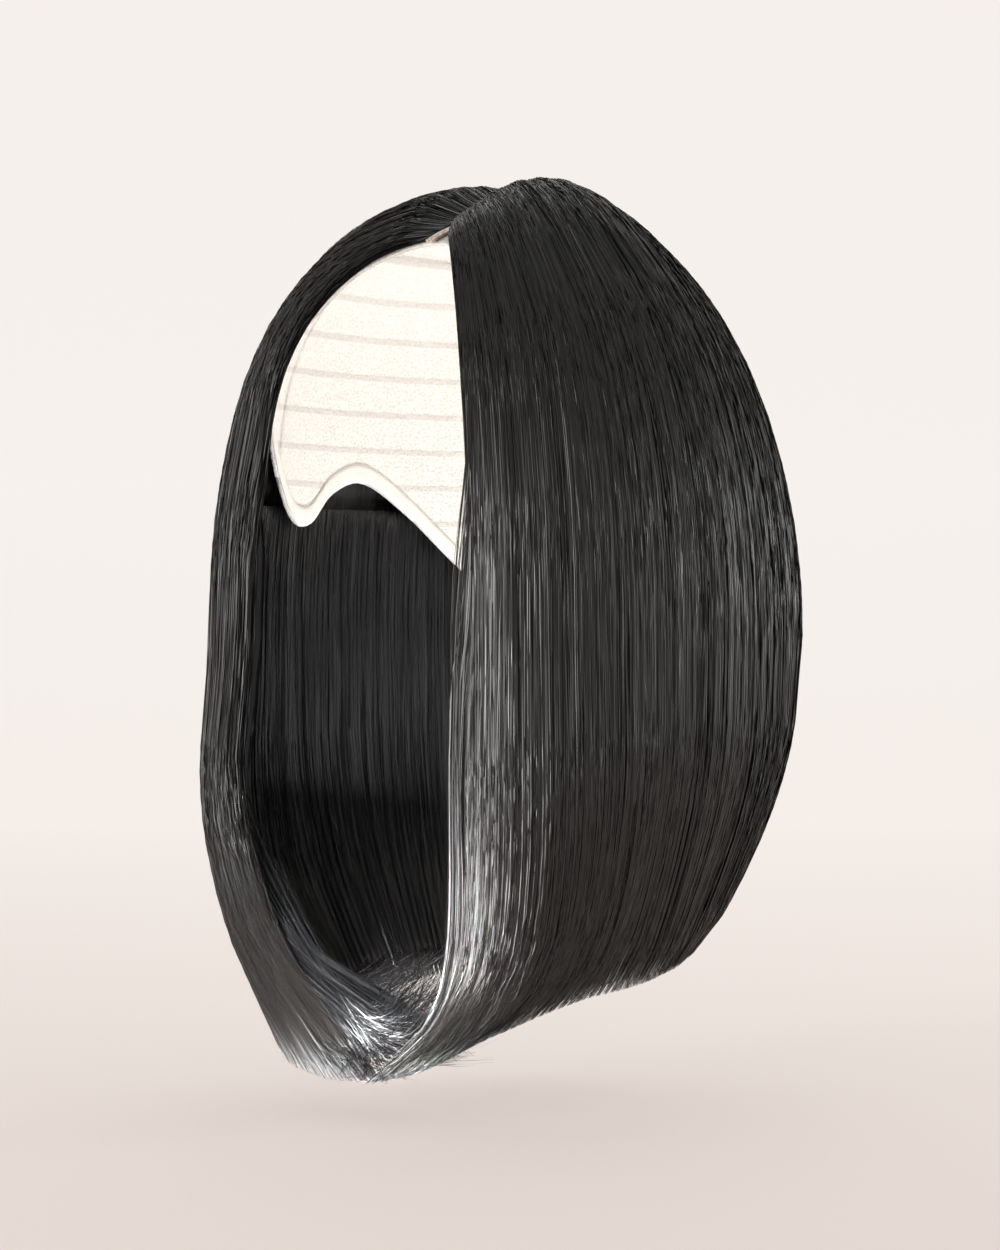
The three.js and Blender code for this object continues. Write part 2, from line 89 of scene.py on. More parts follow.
class Wire:
    """One socket of a material, so that sums on it are written as Python expressions."""

    def __init__(self, finish, socket):
        self.finish, self.socket = finish, socket

    def sum(self, operation, first, second):
        return self.finish.node("Math", {"operation": operation}, {0: first, 1: second})

    def __add__(self, other):
        return self.sum("ADD", self, other)

    def __sub__(self, other):
        return self.sum("SUBTRACT", self, other)

    def __rsub__(self, other):
        return self.sum("SUBTRACT", other, self)

    def __mul__(self, other):
        return self.sum("MULTIPLY", self, other)

    __radd__, __rmul__ = __add__, __mul__


class Finish:
    """One material of the wig, and the nodes that its shader reads."""

    def __init__(self, name, roughness, **fixed):
        self.material = bpy.data.materials.new(name)
        self.material.use_nodes = True
        self.tree = self.material.node_tree
        self.shader = self.tree.nodes["Principled BSDF"].inputs
        self.shader["Roughness"].default_value = roughness
        for socket, value in fixed.items():
            self.shader[socket.replace("_", " ")].default_value = value

    def node(self, kind, settings, sockets, out=0):
        made = self.tree.nodes.new("ShaderNode" + kind)
        for setting, value in settings.items():
            if setting == "stops":
                ramp = made.color_ramp
                while len(ramp.elements) < len(value):
                    ramp.elements.new(0.5)
                for element, (place, shade) in zip(ramp.elements, value):
                    element.position, element.color = place, (shade, shade, shade, 1)
            else:
                setattr(made, setting, value)
        for socket, value in sockets.items():
            self.join(value, made.inputs[socket])
        return Wire(self, made.outputs[out])

    def join(self, value, socket):
        if isinstance(value, Wire):
            self.tree.links.new(value.socket, socket)
        else:
            socket.default_value = value

    def blend(self, share, first, second):
        return self.node("Mix", {"data_type": "RGBA"}, {0: share, 6: first, 7: second}, out=2)

    def noise(self, vector, scale, detail=2.0, roughness=0.5):
        sockets = {"Vector": vector, "Scale": scale, "Detail": detail, "Roughness": roughness}
        return self.node("TexNoise", {}, sockets)

    def place(self):
        return self.node("TexCoord", {}, {}, out=3)

    def split(self, vector):
        parts = self.node("SeparateXYZ", {}, {0: vector})
        return [Wire(self, parts.socket.node.outputs[axis]) for axis in "XYZ"]

    def raise_by(self, height, strength, distance):
        bump = self.node("Bump", {}, {"Height": height, "Strength": strength, "Distance": distance})
        self.join(bump, self.shader["Normal"])


def mix(first, second, share):
    return first + (second - first) * share


def ease(share):
    share = np.clip(share, 0, 1)
    return share * share * (3 - 2 * share)


def curve_through(rows, at):
    """A smooth curve through the rows of a table, read at an array of values."""
    keys, values = np.array(rows, float).T
    slopes = np.empty_like(values)
    slopes[1:-1] = (values[2:] - values[:-2]) / (keys[2:] - keys[:-2])
    slopes[0] = (values[1] - values[0]) / (keys[1] - keys[0])
    slopes[-1] = (values[-1] - values[-2]) / (keys[-1] - keys[-2])
    at = np.clip(at, keys[0], keys[-1])
    row = np.clip(np.searchsorted(keys, at) - 1, 0, len(keys) - 2)
    width = keys[row + 1] - keys[row]
    share = (at - keys[row]) / width
    rise = values[row + 1] - values[row]
    away, into = slopes[row] * width - rise, rise - slopes[row + 1] * width
    return values[row] + share * rise + share * (1 - share) * ((1 - share) * away + share * into)


def cap_measure(points, lift):
    """How far points lie from the middle of the head, where 1 is the cap raised by a lift."""
    half = HEAD_HALF + lift
    level = np.hypot(points[..., 0] / half[0], points[..., 1] / half[1])
    return (level**HEAD_POWER + np.abs(points[..., 2] / half[2]) ** HEAD_POWER) ** (1 / HEAD_POWER)


def lifted_off(points, lift):
    """The points moved along their lines from the head's middle, to lie above the cap by a lift."""
    rays = points + [0, 0, HEAD_HALF[2]]
    return rays / cap_measure(rays, lift)[..., None] - [0, 0, HEAD_HALF[2]]


def on_cap(turn, down, lift):
    turn, down = np.broadcast_arrays(np.radians(turn), np.radians(down))
    rays = np.stack([np.sin(down) * np.sin(turn), np.sin(down) * np.cos(turn), np.cos(down)], -1)
    return lifted_off(rays * HEAD_HALF - [0, 0, HEAD_HALF[2]], lift)


def add_piece(name, shape, finish, replaced=(), tones=None):
    """A mesh piece from points in millimetres, faces and a flat layout, riding on the wig's one body."""
    points, faces, layout = shape
    faces = faces.astype(np.int32)
    mesh = bpy.data.meshes.new(name)
    mesh.vertices.add(len(points))
    mesh.vertices.foreach_set("co", (points * MM).astype(np.float32).ravel())
    mesh.loops.add(faces.size)
    mesh.loops.foreach_set("vertex_index", faces.ravel())
    mesh.polygons.add(len(faces))
    mesh.polygons.foreach_set("loop_start", np.arange(0, faces.size, faces.shape[1], dtype=np.int32))
    mesh.update(calc_edges=True)
    mesh.polygons.foreach_set("use_smooth", np.ones(len(faces), bool))
    mesh.uv_layers.new(name="OFBake").data.foreach_set("uv", layout.astype(np.float32).ravel())
    if tones is not None:
        tag = mesh.attributes.new("tone", "FLOAT", "POINT")
        tag.data.foreach_set("value", tones.astype(np.float32))
    mesh.validate()
    mesh.materials.append(finish.material)
    piece = bpy.data.objects.new(name, mesh)
    bpy.context.scene.collection.objects.link(piece)
    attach(piece, "root")
    if replaced:
        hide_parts(*replaced)


def closed_wall(outer, inner):
    """Points, faces and a flat layout of the closed wall between two grids, by column and then row."""
    columns, rows = outer.shape[:2]
    points = np.concatenate([outer.reshape(-1, 3), inner.reshape(-1, 3)])
    out = np.arange(columns * rows).reshape(columns, rows)
    into = out + columns * rows
    side, fall = np.arange(columns) / (columns - 1), np.arange(rows) / (rows - 1)
    u, v = np.meshgrid(side, fall, indexing="ij")
    faces, layout = [], []

    def strip(a, b, c, d, u, v, low, size):
        faces.append(np.stack([a, b, c, d], -1).reshape(-1, 4))
        corners = [np.broadcast_arrays(low[0] + size[0] * x, low[1] + size[1] * y) for x, y in zip(u, v)]
        layout.append(np.stack([np.stack(corner, -1) for corner in corners], -2).reshape(-1, 4, 2))

    here, there = slice(None, -1), slice(1, None)
    strip(out[here, here], out[there, here], out[there, there], out[here, there],
          (u[here, here], u[there, here], u[there, there], u[here, there]),
          (v[here, here], v[there, here], v[there, there], v[here, there]), (0.01, 0.01), (0.46, 0.9))
    strip(into[here, here], into[here, there], into[there, there], into[there, here],
          (u[here, here], u[here, there], u[there, there], u[there, here]),
          (v[here, here], v[here, there], v[there, there], v[there, here]), (0.5, 0.01), (0.46, 0.9))
    for row, low, flip in ((0, 0.92, False), (-1, 0.95, True)):
        a, b, c, d = out[here, row], into[here, row], into[there, row], out[there, row]
        us, vs = (side[here], side[here], side[there], side[there]), (0, 1, 1, 0)
        if flip:
            a, b, c, d = a, d, c, b
            us, vs = (side[here], side[there], side[there], side[here]), (0, 0, 1, 1)
        strip(a, b, c, d, us, vs, (0.01, low), (0.9, 0.02))
    for column, low, flip in ((0, 0.965, True), (-1, 0.982, False)):
        a, b, c, d = out[column, here], into[column, here], into[column, there], out[column, there]
        vs, us = (fall[here], fall[here], fall[there], fall[there]), (0, 1, 1, 0)
        if flip:
            a, b, c, d = a, d, c, b
            vs, us = (fall[here], fall[there], fall[there], fall[here]), (0, 0, 1, 1)
        strip(a, b, c, d, us, vs, (low, 0.01), (0.012, 0.9))
    return points, np.concatenate(faces), np.concatenate(layout)


net = Finish("fine_stretch_net", 0.85)
place = net.place()
cell = net.node("TexVoronoi", {"feature": "DISTANCE_TO_EDGE"},
                {"Vector": place, "Scale": 1 / NET_MESH_SIZE})
thread = net.node("ValToRGB", {"stops": [(0.1, 1.0), (0.28, 0.0)]}, {0: cell})
height = net.split(place)[2]
row_wave = net.node("Math", {"operation": "SINE"}, {0: height * (2 * math.pi / WEFT_SPACING)})
weft_row = net.node("ValToRGB", {"stops": [(0.9, 0.0), (0.97, 1.0)]}, {0: row_wave * 0.5 + 0.5})
weave_colour = net.blend(thread, NET_HOLE_COLOUR, NET_COLOUR)
stain = net.noise(place, STAIN_SCALE) * STAIN_SHARE
net.join(net.blend(weft_row * WEFT_SHARE, net.blend(stain, weave_colour, TAPE_COLOUR), WEFT_COLOUR),
         net.shader["Base Color"])
net.raise_by(thread + weft_row, *NET_BUMP)

tape = Finish("soft_edge_tape", 0.8)
rib = tape.node("TexWave", {"bands_direction": "Z"},
                {"Vector": tape.place(), "Scale": RIB_SCALE, "Distortion": RIB_BEND})
tape.join(tape.blend(rib, TAPE_COLOUR, NET_COLOUR), tape.shader["Base Color"])
tape.raise_by(rib, *TAPE_BUMP)

for node_name, (start, end) in CAP_PANELS.items():
    turns = np.linspace(start + PANEL_GAP, end - PANEL_GAP, round((end - start) / 2))
    edge = curve_through(CAP_EDGE, np.where(turns > 180, turns - 360, turns))
    downs = mix(CROWN_DOWN, edge[:, None], np.linspace(0, 1, PANEL_ROWS))
    shell = closed_wall(on_cap(turns[:, None], downs, NET_WALL), on_cap(turns[:, None], downs, 0.0))
    add_piece(node_name + "_net", shell, net, [node_name])
turns = np.linspace(0, 360, CROWN_COLUMNS)[:, None]
downs = np.linspace(CROWN_HOLE, CROWN_DOWN - CROWN_GAP, CROWN_ROWS)
crown = closed_wall(on_cap(turns, downs, NET_WALL), on_cap(turns, downs, 0.0))
add_piece("cap_crown_net", crown, net, ["cap_crown"])
turns = np.linspace(-180, 180, TAPE_COLUMNS)[:, None]
downs = curve_through(CAP_EDGE, turns) - TAPE_HEIGHT_TURN * np.linspace(1, 0.05, TAPE_ROWS)
tape_wall = closed_wall(on_cap(turns, downs, -TAPE_GAP), on_cap(turns, downs, -TAPE_WALL))
add_piece("cap_edge_tape", tape_wall, tape)

# Outer hair
# The hair that shows is long straight fibre, combed from the parting to both sides. It fills down to the
# cap at the top, hangs as a thin curtain at the sides, and was set with heat so that its ends curl in.
# Each section is a dense bed with fine strands over, in and under it.
HALF_WIDTH, HALF_LENGTH = 93.0, 117.0
TOP_LOFT, WIDEST_DROP, HAIR_DROP = 14.0, 141.0, 287.0
FRONT_POWER, BACK_POWER = 2.34, 2.0
PARTING_OFFSET, PARTING_FRONT, PARTING_BACK = 15.0, 62.0, 30.0
PARTING_HALF, WHORL_LENGTH, WHORL_TURN = 1.9, 6.0, 50.0
LEFT_ROOTS_BACK = 8.0
LEFT_EDGE, RIGHT_EDGE = 142.0, 160.0
HAIR_BED_LIFT = 2.1
ROOT_WALL, SIDE_WALL, TIP_WALL = 20.0, 5.6, 3.4
DOME_SHARE = 0.5
CURL_START = 0.6
EDGE_TUCK, TIP_TUCK, TUCK_TURN = 8.0, 8.0, 34.0
LEAST_HAIR = 3.0
WALL_THINS_FROM, WALL_THINS_OVER = 60.0, 28.0
EDGE_ROLL, EDGE_WALL_SHARE = 9.0, 0.32
ROOT_RISE, WHORL_RISE, ROOT_SHARE, LEAST_SHARE = 16.0, 9.0, 0.14, 0.93
PUFF, PUFF_RISE, PUFF_FALL = 6.0, 12.0, 40.0
# how far down the fall: its reach in front, at the side and behind, and each front edge's swing in degrees
FALL = [(0.0, 1.0, 1.0, 1.0, 0, 0), (0.15, 1.02, 0.995, 0.976, 0, 0.5), (0.3, 1.043, 0.988, 0.952, 0, 2),
        (0.45, 1.036, 0.958, 0.908, 0, 5.5), (0.6, 1.0, 0.905, 0.855, 0.5, 9.5),
        (0.72, 0.958, 0.85, 0.8, 2, 12.5), (0.82, 0.905, 0.8, 0.745, 5.5, 16),
        (0.9, 0.86, 0.755, 0.697, 12, 19.5), (0.96, 0.835, 0.706, 0.646, 21, 25),
        (1.0, 0.82, 0.67, 0.612, 30, 29)]
# the hem: turns, and the drop there as a share of the longest
HEM = [(-160, 1.0), (-146, 1.0), (-130, 0.982), (-112, 0.953), (-92, 0.935), (-65, 0.918), (-35, 0.886),
       (0, 0.864), (40, 0.858), (64, 0.87), (80, 0.885), (95, 0.898), (108, 0.91), (119, 0.942),
       (130, 0.984), (142, 1.0)]
# section: its turns, its strands and its locks
OUTER_SECTIONS = {"right_front_hair": (-160, -104, 3500, 12), "right_side_hair": (-104, -52, 2700, 8),
                  "right_back_hair": (-52, 0, 2400, 8), "left_back_hair": (0, 50, 2500, 8),
                  "left_side_hair": (50, 96, 3200, 8), "left_front_hair": (96, 142, 3900, 10)}
STRAND_STEPS = 20
LAYOUT_LAYERS = 8
STRAND_WIDTH, STRAND_SPREAD = 0.3, (0.6, 1.15)
ROOT_FINE, TIP_FINE, TAPER_LENGTH = 0.7, 0.3, 0.1
# how far along a strand's points: how far down the hair it has come there
STRAND_PACE = [(0, 0), (0.17, 0.075), (0.66, 0.62), (1, 1)]
TIP_SPREAD, TIP_GATHER = 5.0, 2.2
BED_ROOT, BED_END = 0.12, 0.984
BED_ROOT_ROWS, BED_DOME_ROWS, BED_FALL_ROWS = 10, 16, 26
BED_SINK, RELIEF_AT_ROOT, LEAST_BED = 0.8, 0.3, 0.5
SKIN_DEPTH, SKIN_GATHER, SKIN_SHARE, LEAST_INSIDE = 1.2, 1.3, 0.84, 0.2
LOCK_DEPTH, BROAD_SHARE = 0.6, 0.65
FINE_BEAT, FINE_SHIFT, FINE_BEND = 3.1, 1.7, 0.9
# a wave's size, and the fewest and the most of it along a strand
SWAY, ROLL_WAVE, TONE_WAVE, GLINT_WAVE = (0.22, 0.5, 1.6), (0.4, 0.6, 3), (0.15, 1, 4), (0.4, 1, 5)
ROLL_SPREAD, TONE_MIDDLE, TONE_SPREAD = 0.45, 0.42, 0.2
CLUMP_TURN, CLUMP_SHIFT, CLUMP_BEAT, CLUMP_SHARE = 1.3, 0.4, 5.3, 0.35
EDGE_SHARE, EDGE_SCATTER = 0.16, 4.0
# painted highlight: strands near the left front edge turn pale along their middle, where the front light
# glints
GLINT_CHANCE, GLINT_REACH, GLINT_LEVEL, GLINT_LOW, GLINT_SPAN = 0.85, 9.0, 0.75, 1.1, 0.9
GLINT_FROM, GLINT_GROWS, GLINT_TO, GLINT_FADES = 55.0, 70.0, 250.0, 25.0
# painted highlight: at the front hems about half the strands end in a pale last point
TIP_GLINT_SHARE, TIP_GLINT_RIGHT, TIP_GLINT_LEFT = 0.5, -112.0, 88.0
BED_COLUMNS, BED_INSET = 49, 0.12
HAIR_DARK = (0.0035, 0.0033, 0.0033, 1)
HAIR_LIGHT = (0.020, 0.0175, 0.0155, 1)
# the pale colour of the painted highlights on the strands
PAINTED_GLINT_COLOUR = (0.60, 0.62, 0.63, 1)
TONE_REACH, CLOUD_REACH, CLOUD_SCALE = 0.8, 0.35, 60
LINES_ACROSS, LINES_DOWN, BED_BUMP = 260, 4, (0.9, 0.0006)
rng = np.random.default_rng(11)


def edge_turn(turn):
    return np.where(turn < 0, RIGHT_EDGE, LEFT_EDGE)


def outline_plan(turn):
    return np.stack([HALF_WIDTH * np.sin(np.radians(turn)), HALF_LENGTH * np.cos(np.radians(turn))], -1)


def root_plan(turn):
    """Where the hair at a turn leaves the cap: along the parting's side, then round its back end."""
    spin = np.radians(90 * np.clip(np.abs(turn) / WHORL_TURN, 0, 1))
    along = np.clip((np.abs(turn) - WHORL_TURN) / (edge_turn(turn) - WHORL_TURN), 0, 1)
    front = np.where(turn > 0, PARTING_FRONT - LEFT_ROOTS_BACK, PARTING_FRONT)
    return np.stack([PARTING_OFFSET + np.sign(turn) * PARTING_HALF * np.sin(spin),
                     PARTING_BACK + WHORL_LENGTH * np.cos(spin) - (front + PARTING_BACK) * along], -1)


def dome_power(y):
    return mix(BACK_POWER, FRONT_POWER, 0.5 - y / (2 * HALF_LENGTH))


def on_dome(plan):
    power = dome_power(plan[..., 1])
    spread = np.hypot(plan[..., 0] / HALF_WIDTH, plan[..., 1] / HALF_LENGTH)
    rise = np.maximum(0, 1 - spread**power) ** (1 / power)
    return np.concatenate([plan, ((TOP_LOFT + WIDEST_DROP) * rise - WIDEST_DROP)[..., None]], -1)


def on_fall(turn, step, hem, sweep=0.0):
    side = ease(np.abs(turn) / 90)
    front = ease((np.abs(turn) - 90) / (edge_turn(turn) - 90))
    reads = [curve_through([(row[0], row[column]) for row in FALL], step) for column in range(1, 6)]
    reach = front * reads[0] + (1 - front) * side * reads[1] + (1 - side) * reads[2]
    swing = front * np.where(turn < 0, -reads[4], reads[3])
    swept = front * sweep * ease((step - CURL_START) / (1 - CURL_START))
    plan = outline_plan(turn + swing + swept) * reach[..., None]
    return np.concatenate([plan, (-WIDEST_DROP - (hem - WIDEST_DROP) * step)[..., None]], -1)


def hem_at(turn):
    return HAIR_DROP * curve_through(HEM, turn)


def combed(turn, down):
    """Points of the hair's outer surface: down runs from 0 at the parting to 1 at the hem."""
    root, outline = root_plan(turn), outline_plan(turn)
    share = np.sin(math.pi / 2 * np.clip(down / DOME_SHARE, 0, 1)) ** (2 / FRONT_POWER)
    dome = on_dome(root + (outline - root) * share[..., None])
    fall = on_fall(turn, np.clip((down - DOME_SHARE) / (1 - DOME_SHARE), 0, 1), hem_at(turn))
    return np.where((down <= DOME_SHARE)[..., None], dome, fall)


def inward(points):
    """The way into the hair: towards the middle of the head, and level below that."""
    centre = np.zeros_like(points)
    centre[..., 2] = np.where(points[..., 2] > -HEAD_HALF[2], -HEAD_HALF[2], points[..., 2])
    way = centre - points
    return way / np.linalg.norm(way, axis=-1, keepdims=True)


def depth_to_cap(points):
    from_middle = points + [0, 0, HEAD_HALF[2]]
    above = np.linalg.norm(from_middle, axis=-1) * (1 - 1 / cap_measure(from_middle, HAIR_BED_LIFT))
    half = HEAD_HALF[2] + HAIR_BED_LIFT
    narrowing = (1 - np.clip(-from_middle[..., 2] / half, 0, 1) ** HEAD_POWER) ** (1 / HEAD_POWER)
    level = from_middle * [1, 1, 0]
    beside = np.linalg.norm(level, axis=-1) * (1 - narrowing / cap_measure(level, HAIR_BED_LIFT))
    return np.where(from_middle[..., 2] > 0, above, beside)


def tuck_and_wall(turn, points):
    """How far the hair bends in towards the face, and how thick it is inside that."""
    to_cap = depth_to_cap(points)
    long_step = np.clip((-points[..., 2] - WIDEST_DROP) / (HAIR_DROP - WIDEST_DROP), 0, 1)
    inside = np.where(turn < 0, TIP_TUCK * ease((long_step - CURL_START) / (1 - CURL_START)), 0)
    tuck = np.clip(to_cap - LEAST_HAIR, 0, EDGE_TUCK + inside)
    tuck = ease(1 - (edge_turn(turn) - np.abs(turn)) / TUCK_TURN) * tuck
    step = np.clip((-points[..., 2] - WIDEST_DROP) / (hem_at(turn) - WIDEST_DROP), 0, 1)
    hanging = mix(SIDE_WALL, TIP_WALL, ease(step))
    wall = mix(ROOT_WALL, hanging, ease((-points[..., 2] - WALL_THINS_FROM) / WALL_THINS_OVER))
    return tuck, np.minimum(to_cap - tuck, wall)


def outer_depths(turn, down, points):
    """The depths at which the outer hair starts and ends, inside its outline."""
    tuck, wall = tuck_and_wall(turn, points)
    to_edge = np.clip((edge_turn(turn) - np.abs(turn)) / EDGE_ROLL, 0, 1)
    roll = mix(EDGE_WALL_SHARE, 1, np.sqrt(1 - (1 - to_edge) ** 2))
    run = np.linalg.norm(points - combed(turn, np.zeros_like(down)), axis=-1)
    risen = ease(run / mix(ROOT_RISE, WHORL_RISE, ease(turn / WHORL_TURN)))
    lifted = ease((turn - WHORL_TURN) / WHORL_TURN)
    puff = PUFF * lifted * roll * ease(run / PUFF_RISE) * (1 - ease((run - PUFF_RISE) / PUFF_FALL))
    start = np.minimum(wall * (1 - roll * mix(ROOT_SHARE, 1, risen)), wall * LEAST_SHARE)
    return tuck + start - puff, tuck + wall, risen


def lock_relief(turn, down, start, end, locks):
    """Shallow grooves between the locks, and finer ones within them."""
    beat = (turn - start) / (end - start) * locks
    broad = 0.5 + 0.5 * np.cos(math.pi * beat)
    fine = 0.5 + 0.5 * np.sin(turn * FINE_BEAT + FINE_SHIFT * np.sin(turn * FINE_BEND + 2 * down))
    return LOCK_DEPTH * (BROAD_SHARE * broad + (1 - BROAD_SHARE) * fine)


def strand_places(count):
    """A strand's points are closest where it rises and where it curls, and out of step with the next's."""
    beat = np.linspace(0, 1, STRAND_STEPS)
    shift = rng.uniform(-0.5, 0.5, (count, 1)) / (STRAND_STEPS - 1)
    return np.interp(beat + shift * ((beat > 0) & (beat < 1)), *np.transpose(STRAND_PACE))


def waver(count, steps, size, least, most):
    """A slow wave along each strand, each with its own size, length and phase."""
    place = np.linspace(0, 1, steps)
    turns = place * rng.uniform(least, most, (count, 1)) + rng.random((count, 1))
    return rng.normal(0, size, (count, 1)) * np.sin(2 * math.pi * turns)


def sway(count, downs, size, least, most):
    """How far each strand wanders to its sides on the way down."""
    size = rng.normal(0, size, (count, 1))
    waves = downs * rng.uniform(least, most, (count, 1)) + rng.random((count, 1))
    return size * np.sin(2 * math.pi * waves)


def ribbons(paths, facing, width, roll):
    """Points, faces and a flat layout of thin ribbons along paths, each rolled about its own line."""
    count, steps = paths.shape[:2]
    lead = np.gradient(paths, axis=1)
    lead /= np.linalg.norm(lead, axis=-1, keepdims=True) + 1e-9
    side = np.cross(lead, facing)
    side /= np.linalg.norm(side, axis=-1, keepdims=True) + 1e-9
    face = np.cross(side, lead)
    spread = (np.cos(roll)[..., None] * side + np.sin(roll)[..., None] * face) * (width / 2)[..., None]
    points = np.stack([paths - spread, paths + spread], 2).reshape(-1, 3)
    first = (np.arange(count)[:, None] * steps + np.arange(steps - 1)) * 2
    faces = np.stack([first, first + 1, first + 3, first + 2], -1).reshape(-1, 4)
    per_layer = math.ceil(count / LAYOUT_LAYERS)
    order = np.arange(count)
    top = (order // per_layer) / LAYOUT_LAYERS
    down = top[:, None] + np.linspace(0.03, 0.97, steps) / LAYOUT_LAYERS
    upper, lower = down[:, :-1], down[:, 1:]
    left = np.broadcast_to(((order % per_layer + 0.1) / per_layer)[:, None], upper.shape)
    right = np.broadcast_to(((order % per_layer + 0.9) / per_layer)[:, None], upper.shape)
    layout = np.stack([np.stack([left, upper], -1), np.stack([right, upper], -1),
                       np.stack([right, lower], -1), np.stack([left, lower], -1)], -2).reshape(-1, 4, 2)
    return points, faces, layout


def strand_piece(name, paths, facing, width, roll, tone, finish, replaced=()):
    tones = np.repeat(np.broadcast_to(tone, paths.shape[:2]).ravel(), 2)
    add_piece(name, ribbons(paths, facing, width, roll), finish, replaced, tones)


def strand_width(count, steps):
    """Strands are finer at the root and taper at the tip."""
    place = np.linspace(0, 1, steps)
    to_tip = ease((place - (1 - TAPER_LENGTH)) / TAPER_LENGTH)
    taper = mix(ROOT_FINE, 1, ease(place / TAPER_LENGTH)) * mix(1, TIP_FINE, to_tip)
    return STRAND_WIDTH * rng.uniform(*STRAND_SPREAD, (count, 1)) * taper


def hair_finish(name, dark, light, roughness):
    """Hair fibre: a dark body with a soft sheen in tones from 0 to 1; tones up to 2 paint a pale
    highlight.
    """
    hair = Finish(name, roughness)
    tone = hair.node("Attribute", {"attribute_name": "tone"}, {}, out=2)
    cloudy = hair.noise(hair.place(), CLOUD_SCALE)
    fibre = hair.blend(tone * TONE_REACH + (cloudy - 0.5) * CLOUD_REACH, dark, light)
    hair.join(hair.blend(tone - 1, fibre, PAINTED_GLINT_COLOUR), hair.shader["Base Color"])
    return hair


def bed_finish(name, dark, light, roughness):
    """The same fibre seen as a dense mass, with strands as fine lines along it."""
    bed = Finish(name, roughness)
    across, down, _ = bed.split(bed.node("UVMap", {"uv_map": "OFBake"}, {}))
    line = bed.node("CombineXYZ", {}, {0: across * LINES_ACROSS, 1: down * LINES_DOWN})
    fine = bed.noise(line, 1.0, 3.0, 0.6)
    bed.join(bed.blend(fine, dark, light), bed.shader["Base Color"])
    bed.raise_by(fine, *BED_BUMP)
    return bed


hair_strands = hair_finish("dark_fibre_painted_glints", HAIR_DARK, HAIR_LIGHT, 0.36)
hair_bed = bed_finish("dense_dark_fibre", HAIR_DARK, HAIR_LIGHT, 0.5)

bed_downs = np.concatenate([np.linspace(0, BED_ROOT, BED_ROOT_ROWS)[:-1],
                            np.linspace(BED_ROOT, DOME_SHARE, BED_DOME_ROWS)[:-1],
                            np.linspace(DOME_SHARE, BED_END, BED_FALL_ROWS)])
for node_name, (start, end, strands, locks) in OUTER_SECTIONS.items():
    base = node_name.replace("_hair", "")
    columns = np.linspace(start + BED_INSET, end - BED_INSET, BED_COLUMNS)
    turns, downs = np.meshgrid(columns, bed_downs, indexing="ij")
    surface = combed(turns, downs)
    way = inward(surface)
    near, far, risen = outer_depths(turns, downs, surface)
    relief = (lock_relief(turns, downs, start, end, locks) + BED_SINK) * mix(RELIEF_AT_ROOT, 1, risen)
    near = np.minimum(near + relief, far - LEAST_BED)
    bed = closed_wall(surface + way * near[..., None], surface + way * far[..., None])
    add_piece(base + "_bed", bed, hair_bed, [node_name])

    at = rng.uniform(start, end, strands)
    if "front" in node_name:
        edge = -RIGHT_EDGE if start < 0 else LEFT_EDGE
        hugging = rng.random(strands) < EDGE_SHARE
        at = np.where(hugging, edge - np.sign(edge) * np.abs(rng.normal(0, EDGE_SCATTER, strands)), at)
    clump = np.round(at / CLUMP_TURN)
    clump = clump * CLUMP_TURN + CLUMP_SHIFT * np.sin(clump * CLUMP_BEAT)
    lift = TIP_SPREAD * rng.random(strands) ** TIP_GATHER
    last = 1 - (1 - DOME_SHARE) * lift / (hem_at(at) - WIDEST_DROP)
    downs = strand_places(strands) * last[:, None]
    aside = sway(strands, downs, *SWAY)
    turns = mix(at[:, None], clump[:, None], CLUMP_SHARE * ease(downs)) + aside * ease(downs * 6)
    turns = np.clip(turns, start, end)
    surface = combed(turns, downs)
    way = inward(surface)
    near, far, risen = outer_depths(turns, downs, surface)
    near = near + lock_relief(turns, downs, start, end, locks) * risen
    skin = SKIN_DEPTH * rng.random((strands, 1)) ** SKIN_GATHER
    inner = (far - near) * rng.random((strands, 1))
    depth = near + np.where(rng.random((strands, 1)) < SKIN_SHARE, skin, inner)
    depth = np.minimum(depth, far - LEAST_INSIDE)
    paths = surface + way * depth[..., None]
    roll = rng.normal(0, ROLL_SPREAD, (strands, 1)) + waver(strands, STRAND_STEPS, *ROLL_WAVE)
    tone = rng.normal(TONE_MIDDLE, TONE_SPREAD, (strands, 1))
    tone = np.clip(tone + waver(strands, STRAND_STEPS, *TONE_WAVE), 0, 1)
    # painted highlight: some strands near the left front edge mix towards the pale glint colour between
    # two levels
    to_edge = LEFT_EDGE - at
    glinting = rng.random(strands) < GLINT_CHANCE * np.exp(-((to_edge / GLINT_REACH) ** 2))
    level = -paths[..., 2]
    lit = ease((level - GLINT_FROM) / GLINT_GROWS) * (1 - ease((level - GLINT_TO) / GLINT_FADES))
    lit = lit * glinting[:, None]
    lit = lit * np.clip(GLINT_LEVEL + waver(strands, STRAND_STEPS, *GLINT_WAVE), 0, 1)
    tone = tone + lit * (GLINT_LOW + GLINT_SPAN * rng.random((strands, 1)) - tone)
    # painted highlight: the last point of some front strands is pale, for the light on their tips
    painted_glint = (rng.random(strands) < TIP_GLINT_SHARE) & ((at < TIP_GLINT_RIGHT) | (at > TIP_GLINT_LEFT))
    tone[:, -1] = np.where(painted_glint, 1 + rng.random(strands), tone[:, -1])
    strand_piece(base + "_strands", paths, -way, strand_width(strands, STRAND_STEPS), roll, tone,
                 hair_strands)

# Hair under the outer layer
# Shorter rows of the same fibre are sewn round the sides, the back and the nape of the cap. They fill out
# the bob from inside, and only their tips and their inner face show, from the front and from below.
LAYER_GAP = 1.3
UNDER_DROP, UNDER_WALL, UNDER_RISE = 96.0, 4.0, 5.0
BACK_CURL, FRONT_CURL = 4.0, 27.0
NAPE_DROP, NAPE_WALL, NAPE_RISE = 124.0, 3.5, 28.0
NAPE_TURN, NAPE_FADE = 52.0, 24.0
PLUMB_SHARE = 0.25
